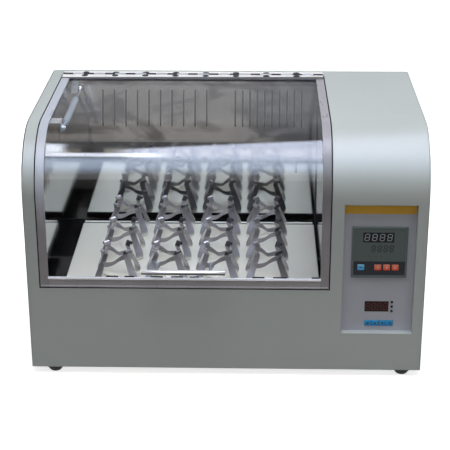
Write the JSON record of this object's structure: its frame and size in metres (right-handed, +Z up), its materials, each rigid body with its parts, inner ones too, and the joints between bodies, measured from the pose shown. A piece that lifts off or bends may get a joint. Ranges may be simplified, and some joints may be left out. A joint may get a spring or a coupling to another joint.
{
  "type": "incubated benchtop shaker",
  "caption": "Benchtop incubator shaker: rounded metal housing, hinged clear lid with gas strut, orbiting tray with sprung flask clamps, heated chamber and recessed control panel.",
  "frame": {"origin": "on the bench, under the middle of the bounding box", "axes": "+X along the width towards the control panel, +Y to the rear, +Z up"},
  "size_m": [0.7, 0.464, 0.4517],
  "materials": {
    "grey_green_paint": "semi-gloss powder coat, light grey-green",
    "polished_steel": "polished, mirror-like",
    "satin_aluminium": "satin",
    "clear_acrylic": "clear, polished",
    "chrome": "polished",
    "spring_steel": "dark satin spring steel",
    "black_rubber": "matt",
    "lilac_panel": "matt lilac-grey overlay",
    "bezel_plastic": "fine texture",
    "smoked_window": "smoked, polished",
    "blue_key": "satin",
    "red_key": "satin",
    "red_window": "dark red, polished",
    "circuit_board": "green solder mask",
    "cast_metal": "machined and painted grey",
    "black_plastic": "moulded",
    "pale_blue_tube": "bright plated tube"
  },
  "bodies": {
    "housing": {"cabinet_wrap": "grey_green_paint", "left_side_panel": "grey_green_paint", "right_side_panel": "grey_green_paint", "rear_panel": "grey_green_paint", "base_pan": "grey_green_paint", "foot_front_left": "black_rubber", "foot_front_right": "black_rubber", "foot_rear_left": "black_rubber", "foot_rear_right": "black_rubber", "chamber_liner": "polished_steel", "lid_seal": "black_rubber", "cabinet_hinge_leaf": "polished_steel", "strut_cabinet_bracket": "chrome", "fan_motor": "cast_metal", "heater_element": "spring_steel", "temperature_probe": "chrome", "drive_deck": "cast_metal", "drive_motor": "cast_metal", "drive_belt": "black_rubber", "control_fascia": "lilac_panel", "controller_case": "bezel_plastic", "controller_window": "smoked_window", "speed_window": "red_window", "speed_board": "circuit_board", "power_inlet": "black_plastic"},
    "lid": {"lid_frame": "satin_aluminium", "lid_window": "clear_acrylic", "lid_handle": "chrome", "lid_hinge_leaf": "polished_steel", "strut_lid_bracket": "chrome"},
    "strut_tube": {"strut_tube": "pale_blue_tube"},
    "strut_rod": {"strut_rod": "chrome"},
    "drive_crank": {"drive_crank": "cast_metal"},
    "idler_left": {"idler_crank_left": "cast_metal"},
    "idler_right": {"idler_crank_right": "cast_metal"},
    "tray": {"shaking_tray": "polished_steel", "tray_carrier": "satin_aluminium", "flask_clamp_1_1": "spring_steel", "flask_clamp_1_2": "spring_steel", "flask_clamp_1_3": "spring_steel", "flask_clamp_1_4": "spring_steel", "flask_clamp_2_1": "spring_steel", "flask_clamp_2_2": "spring_steel", "flask_clamp_2_3": "spring_steel", "flask_clamp_2_4": "spring_steel", "flask_clamp_3_1": "spring_steel", "flask_clamp_3_2": "spring_steel", "flask_clamp_3_3": "spring_steel", "flask_clamp_3_4": "spring_steel"},
    "motor_pulley": {"motor_pulley": "satin_aluminium"},
    "fan_wheel": {"fan_wheel": "satin_aluminium"},
    "power_rocker": {"power_rocker": "red_key"},
    "controller_key_set": {"controller_key_set": "blue_key"},
    "controller_key_shift": {"controller_key_shift": "red_key"},
    "controller_key_down": {"controller_key_down": "red_key"},
    "controller_key_up": {"controller_key_up": "red_key"},
    "speed_key_1": {"speed_key_1": "blue_key"},
    "speed_key_2": {"speed_key_2": "blue_key"},
    "speed_key_3": {"speed_key_3": "blue_key"},
    "speed_key_4": {"speed_key_4": "blue_key"}
  },
  "joints": [
    {"name": "lid_hinge", "type": "hinge", "parent": "housing", "child": "lid", "pos_m": [-0.0725, 0.1942, 0.4491], "axis": [-1, 0, 0], "range_deg": [0, 80]},
    {"name": "strut_tube_pivot", "type": "hinge", "parent": "lid", "child": "strut_tube", "pos_m": [-0.2905, -0.0778, 0.428], "axis": [-1, 0, 0], "range_deg": [0, 3]},
    {"name": "strut_rod_slide", "type": "slide", "parent": "strut_tube", "child": "strut_rod", "axis": [0, 1, 0], "range_m": [0, 0.046]},
    {"name": "crank_spin", "type": "hinge", "parent": "housing", "child": "drive_crank", "pos_m": [-0.07225, 0.0542, 0.111], "axis": [0, 0, 1], "continuous": true},
    {"name": "tray_orbit", "type": "hinge", "parent": "drive_crank", "child": "tray", "pos_m": [-0.06125, 0.0542, 0.163], "axis": [0, 0, 1], "continuous": true},
    {"name": "idler_left_spin", "type": "hinge", "parent": "housing", "child": "idler_left", "pos_m": [-0.22225, -0.1058, 0.111], "axis": [0, 0, 1], "continuous": true},
    {"name": "idler_right_spin", "type": "hinge", "parent": "housing", "child": "idler_right", "pos_m": [0.07775, -0.1058, 0.111], "axis": [0, 0, 1], "continuous": true},
    {"name": "motor_spin", "type": "hinge", "parent": "housing", "child": "motor_pulley", "pos_m": [0.245, 0.1022, 0.073], "axis": [0, 0, 1], "continuous": true},
    {"name": "fan_spin", "type": "hinge", "parent": "housing", "child": "fan_wheel", "pos_m": [-0.08, 0.1592, 0.263], "axis": [0, 1, 0], "continuous": true},
    {"name": "power_rocker_tilt", "type": "hinge", "parent": "housing", "child": "power_rocker", "pos_m": [0.27, 0.2255, 0.097], "axis": [1, 0, 0], "range_deg": [0, 20]},
    {"name": "controller_key_set_press", "type": "slide", "parent": "housing", "child": "controller_key_set", "axis": [0, 1, 0], "range_m": [0, 0.0008], "stiffness_N_per_m": 300},
    {"name": "controller_key_shift_press", "type": "slide", "parent": "housing", "child": "controller_key_shift", "axis": [0, 1, 0], "range_m": [0, 0.0008], "stiffness_N_per_m": 300},
    {"name": "controller_key_down_press", "type": "slide", "parent": "housing", "child": "controller_key_down", "axis": [0, 1, 0], "range_m": [0, 0.0008], "stiffness_N_per_m": 300},
    {"name": "controller_key_up_press", "type": "slide", "parent": "housing", "child": "controller_key_up", "axis": [0, 1, 0], "range_m": [0, 0.0008], "stiffness_N_per_m": 300},
    {"name": "speed_key_1_press", "type": "slide", "parent": "housing", "child": "speed_key_1", "axis": [0, 1, 0], "range_m": [0, 0.0008], "stiffness_N_per_m": 300},
    {"name": "speed_key_2_press", "type": "slide", "parent": "housing", "child": "speed_key_2", "axis": [0, 1, 0], "range_m": [0, 0.0008], "stiffness_N_per_m": 300},
    {"name": "speed_key_3_press", "type": "slide", "parent": "housing", "child": "speed_key_3", "axis": [0, 1, 0], "range_m": [0, 0.0008], "stiffness_N_per_m": 300},
    {"name": "speed_key_4_press", "type": "slide", "parent": "housing", "child": "speed_key_4", "axis": [0, 1, 0], "range_m": [0, 0.0008], "stiffness_N_per_m": 300}
  ],
  "couplings": [
    {"joint": "strut_tube_pivot", "follows": "lid_hinge", "ratio": 0.020291},
    {"joint": "strut_rod_slide", "follows": "lid_hinge", "m_per_rad": 0.030353},
    {"joint": "tray_orbit", "follows": "crank_spin", "ratio": -1},
    {"joint": "idler_left_spin", "follows": "crank_spin", "ratio": 1},
    {"joint": "idler_right_spin", "follows": "crank_spin", "ratio": 1},
    {"joint": "motor_spin", "follows": "crank_spin", "ratio": 3.1111}
  ]
}
